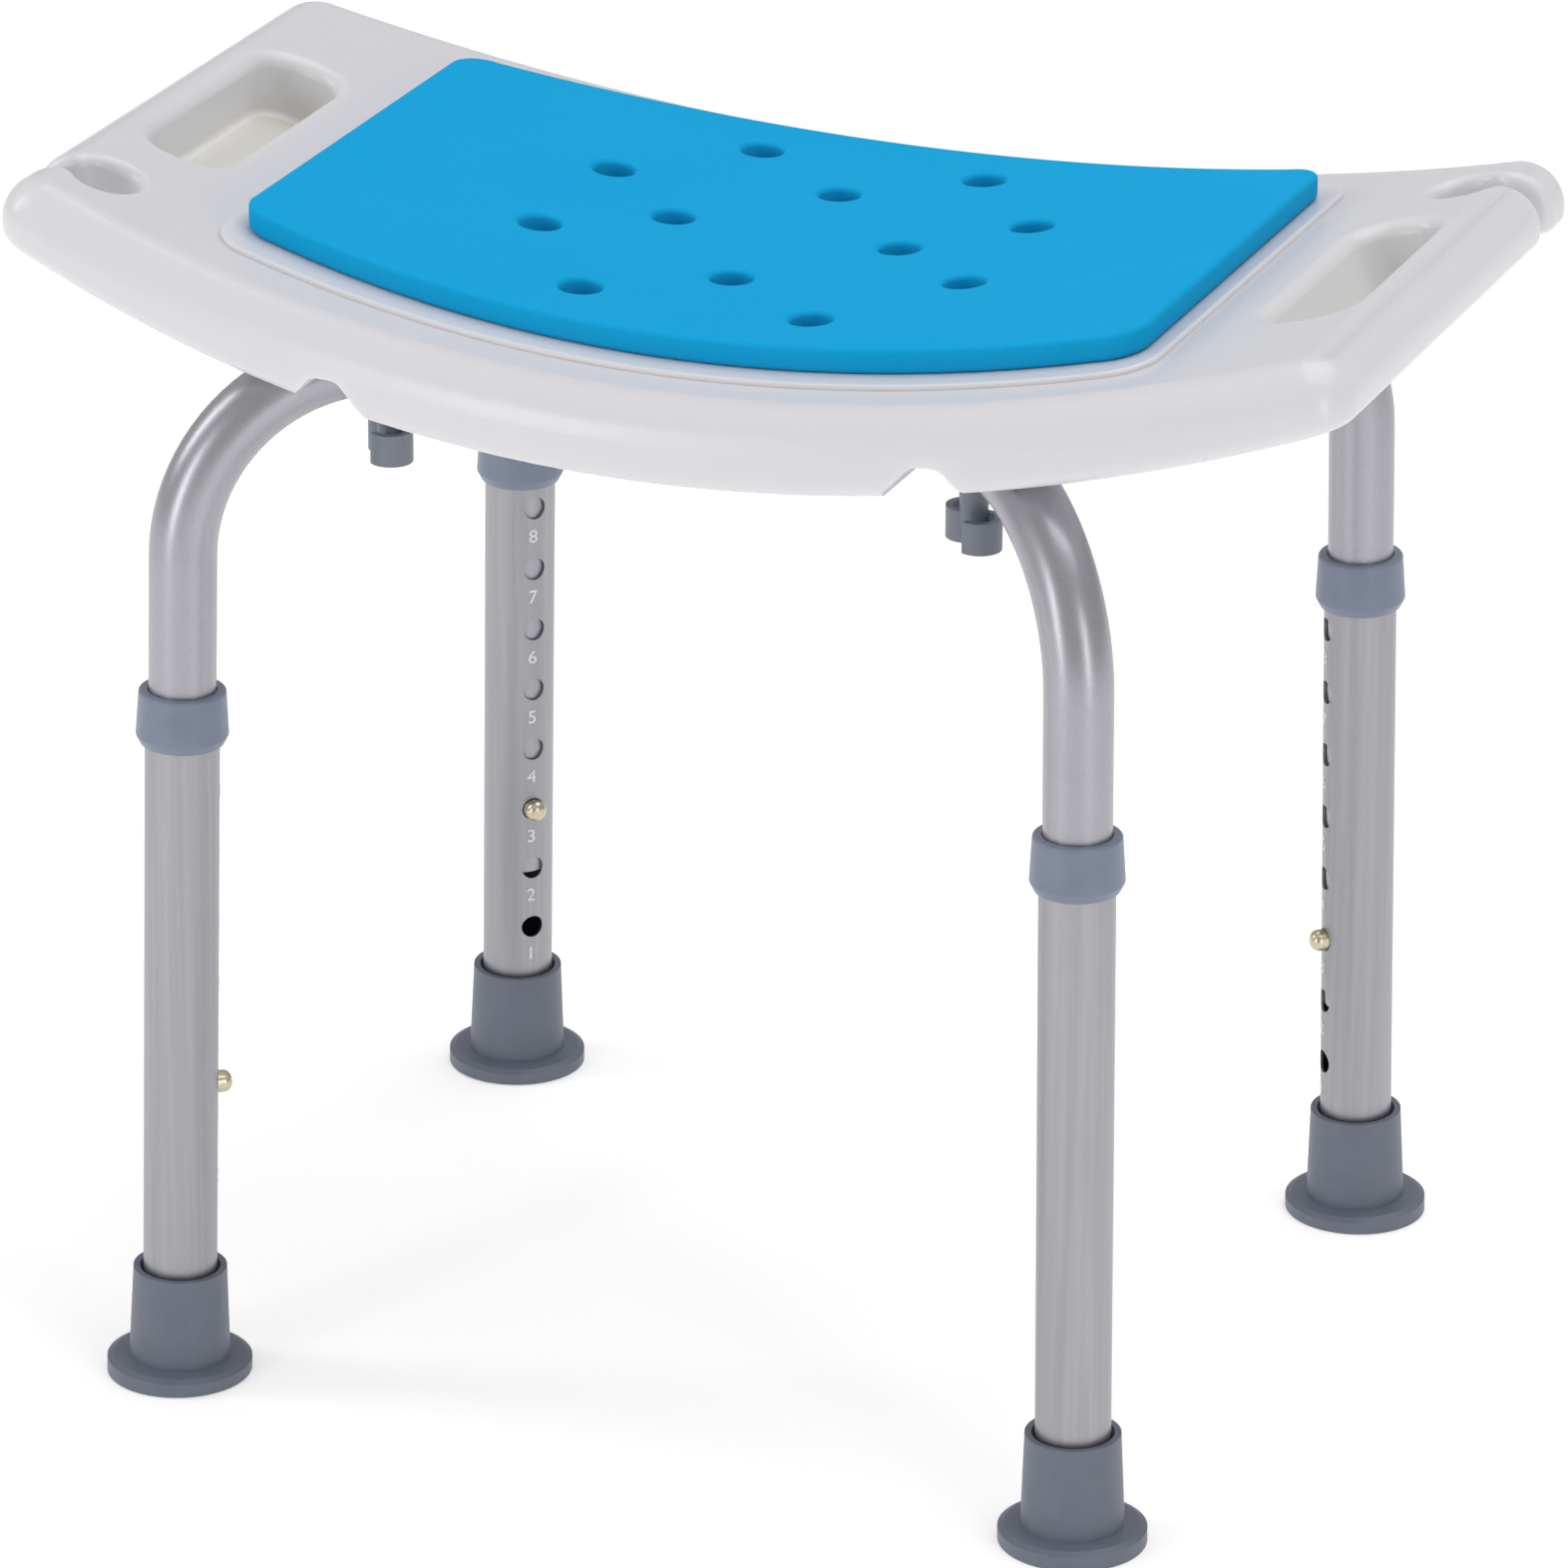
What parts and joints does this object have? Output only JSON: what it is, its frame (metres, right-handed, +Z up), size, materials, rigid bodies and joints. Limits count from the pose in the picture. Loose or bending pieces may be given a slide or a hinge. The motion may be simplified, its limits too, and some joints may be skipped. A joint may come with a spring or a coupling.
{
  "type": "shower stool",
  "caption": "Backless bath stool: saddle-curved hollow seat with foam pad and hand grips, on splayed tube legs that adjust in height by spring buttons.",
  "frame": {"origin": "on the floor under the centre of the seat", "axes": "+X along the seat's length, +Y towards the back, +Z up"},
  "size_m": [0.5056, 0.3544, 0.4362],
  "materials": {
    "seat_plastic": "satin white blow-moulded polyethylene",
    "pad_foam": "soft matte blue closed-cell foam",
    "tube_silver": "satin silver",
    "tube_aluminium": "satin anodised",
    "collar_plastic": "matte grey",
    "boot_rubber": "matte grey rubber",
    "button_brass": "polished, slightly dull",
    "insert_brass": "turned",
    "spring_steel": "plain",
    "stud_steel": "zinc plated",
    "knob_plastic": "matte grey"
  },
  "bodies": {
    "frame": {"seat_shell": "seat_plastic", "foam_pad": "pad_foam", "thread_inserts": "insert_brass", "upper_leg_fl": "tube_silver", "upper_leg_bl": "tube_silver", "upper_leg_fr": "tube_silver", "upper_leg_br": "tube_silver", "button_spring_fl": "spring_steel", "button_spring_bl": "spring_steel", "button_spring_fr": "spring_steel", "button_spring_br": "spring_steel"},
    "lower_leg_fl": {"lower_tube_fl": "tube_aluminium", "collar_fl": "collar_plastic", "boot_fl": "boot_rubber"},
    "button_fl": {"push_button_fl": "button_brass"},
    "knob_fl": {"wing_knob_fl": "knob_plastic", "knob_stud_fl": "stud_steel"},
    "lower_leg_bl": {"lower_tube_bl": "tube_aluminium", "collar_bl": "collar_plastic", "boot_bl": "boot_rubber"},
    "button_bl": {"push_button_bl": "button_brass"},
    "knob_bl": {"wing_knob_bl": "knob_plastic", "knob_stud_bl": "stud_steel"},
    "lower_leg_fr": {"lower_tube_fr": "tube_aluminium", "collar_fr": "collar_plastic", "boot_fr": "boot_rubber"},
    "button_fr": {"push_button_fr": "button_brass"},
    "knob_fr": {"wing_knob_fr": "knob_plastic", "knob_stud_fr": "stud_steel"},
    "lower_leg_br": {"lower_tube_br": "tube_aluminium", "collar_br": "collar_plastic", "boot_br": "boot_rubber"},
    "button_br": {"push_button_br": "button_brass"},
    "knob_br": {"wing_knob_br": "knob_plastic", "knob_stud_br": "stud_steel"}
  },
  "joints": [
    {"name": "leg_slide_fl", "type": "slide", "parent": "frame", "child": "lower_leg_fl", "axis": [-0.0175, -0.0149, -0.9997], "range_m": [-0.05, 0.125], "deforming": ["push_button_fl"]},
    {"name": "button_press_fl", "type": "slide", "parent": "frame", "child": "button_fl", "axis": [-0.7613, -0.6479, 0.023], "range_m": [0, 0.006], "stiffness_N_per_m": 500, "springref_m": -0.016, "deforming": ["button_spring_fl"]},
    {"name": "knob_turn_fl", "type": "hinge", "parent": "frame", "child": "knob_fl", "pos_m": [-0.11051, -0.09663, 0.3689], "axis": [0, 0, 1], "continuous": true},
    {"name": "leg_slide_bl", "type": "slide", "parent": "frame", "child": "lower_leg_bl", "axis": [-0.0175, 0.0149, -0.9997], "range_m": [-0.05, 0.125], "deforming": ["push_button_bl"]},
    {"name": "button_press_bl", "type": "slide", "parent": "frame", "child": "button_bl", "axis": [-0.7613, 0.6479, 0.023], "range_m": [0, 0.006], "stiffness_N_per_m": 500, "springref_m": -0.016, "deforming": ["button_spring_bl"]},
    {"name": "knob_turn_bl", "type": "hinge", "parent": "frame", "child": "knob_bl", "pos_m": [-0.11051, 0.09663, 0.3689], "axis": [0, 0, 1], "continuous": true},
    {"name": "leg_slide_fr", "type": "slide", "parent": "frame", "child": "lower_leg_fr", "axis": [0.0175, -0.0149, -0.9997], "range_m": [-0.05, 0.125], "deforming": ["push_button_fr"]},
    {"name": "button_press_fr", "type": "slide", "parent": "frame", "child": "button_fr", "axis": [0.7613, -0.6479, 0.023], "range_m": [0, 0.006], "stiffness_N_per_m": 500, "springref_m": -0.016, "deforming": ["button_spring_fr"]},
    {"name": "knob_turn_fr", "type": "hinge", "parent": "frame", "child": "knob_fr", "pos_m": [0.11051, -0.09663, 0.3689], "axis": [0, 0, 1], "continuous": true},
    {"name": "leg_slide_br", "type": "slide", "parent": "frame", "child": "lower_leg_br", "axis": [0.0175, 0.0149, -0.9997], "range_m": [-0.05, 0.125], "deforming": ["push_button_br"]},
    {"name": "button_press_br", "type": "slide", "parent": "frame", "child": "button_br", "axis": [0.7613, 0.6479, 0.023], "range_m": [0, 0.006], "stiffness_N_per_m": 500, "springref_m": -0.016, "deforming": ["button_spring_br"]},
    {"name": "knob_turn_br", "type": "hinge", "parent": "frame", "child": "knob_br", "pos_m": [0.11051, 0.09663, 0.3689], "axis": [0, 0, 1], "continuous": true}
  ]
}
